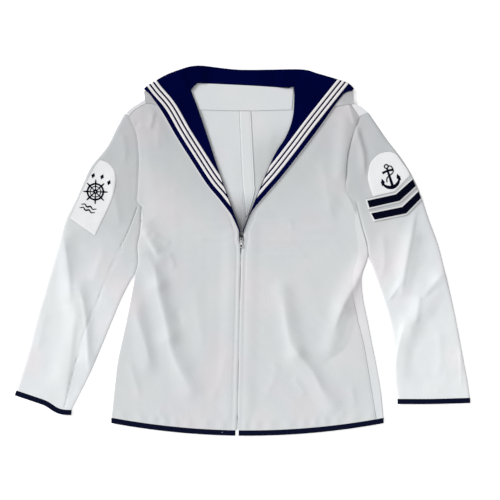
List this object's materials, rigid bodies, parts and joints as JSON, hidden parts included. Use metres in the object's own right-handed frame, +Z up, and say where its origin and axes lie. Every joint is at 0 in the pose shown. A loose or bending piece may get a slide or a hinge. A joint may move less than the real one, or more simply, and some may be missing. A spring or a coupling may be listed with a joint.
{
  "type": "sailor jumper",
  "caption": "White long-sleeved sailor jumper laid flat, with a navy collar, white tapes, bound edges, a front zip and sleeve badges.",
  "frame": {"origin": "middle of the garment's outline, on the surface that it lies on", "axes": "+X to the right as seen from above, +Y toward the collar, +Z up off the surface"},
  "size_m": [0.8645, 0.7023, 0.0087],
  "materials": {
    "white_drill": "matt white cotton drill",
    "navy_collar": "matt navy cotton twill",
    "white_tape": "matt off-white woven tape",
    "navy_binding": "matt near-black navy cotton",
    "zip_cloth": "woven polyester tape",
    "zip_metal": "bright nickel plate"
  },
  "bodies": {
    "garment": {"front_left": "white_drill", "front_right": "white_drill", "back_left": "white_drill", "back_right": "white_drill", "sleeve_left": "white_drill", "sleeve_right": "white_drill", "back_neck_facing": "white_drill", "back_centre_strip": "white_drill", "collar_lining_left": "white_tape", "collar_lining_right": "white_tape", "collar_tape_left_1": "white_tape", "collar_tape_left_2": "white_tape", "collar_tape_left_3": "white_tape", "collar_tape_right_1": "white_tape", "collar_tape_right_2": "white_tape", "collar_tape_right_3": "white_tape", "badge_left": "white_tape", "badge_right": "white_tape", "chevron_backing_upper": "white_tape", "chevron_backing_lower": "white_tape", "hem_binding_front_left": "navy_binding", "hem_binding_front_right": "navy_binding", "hem_binding_back": "navy_binding", "cuff_binding_left": "navy_binding", "cuff_binding_right": "navy_binding", "chevron_upper": "navy_binding", "chevron_lower": "navy_binding", "collar": "navy_collar", "zip_tape_left": "zip_cloth", "zip_tape_right": "zip_cloth", "zip_chain": "zip_metal", "zip_box": "zip_metal", "zip_slider": "zip_metal"},
    "pull_tab": {"zip_pull_tab": "zip_metal"}
  },
  "joints": [
    {"name": "pull_tab_hinge", "type": "hinge", "parent": "garment", "child": "pull_tab", "pos_m": [-0.00249, 0.0245, 0.00635], "axis": [-1, 0, 0], "range_deg": [0, 165]}
  ]
}
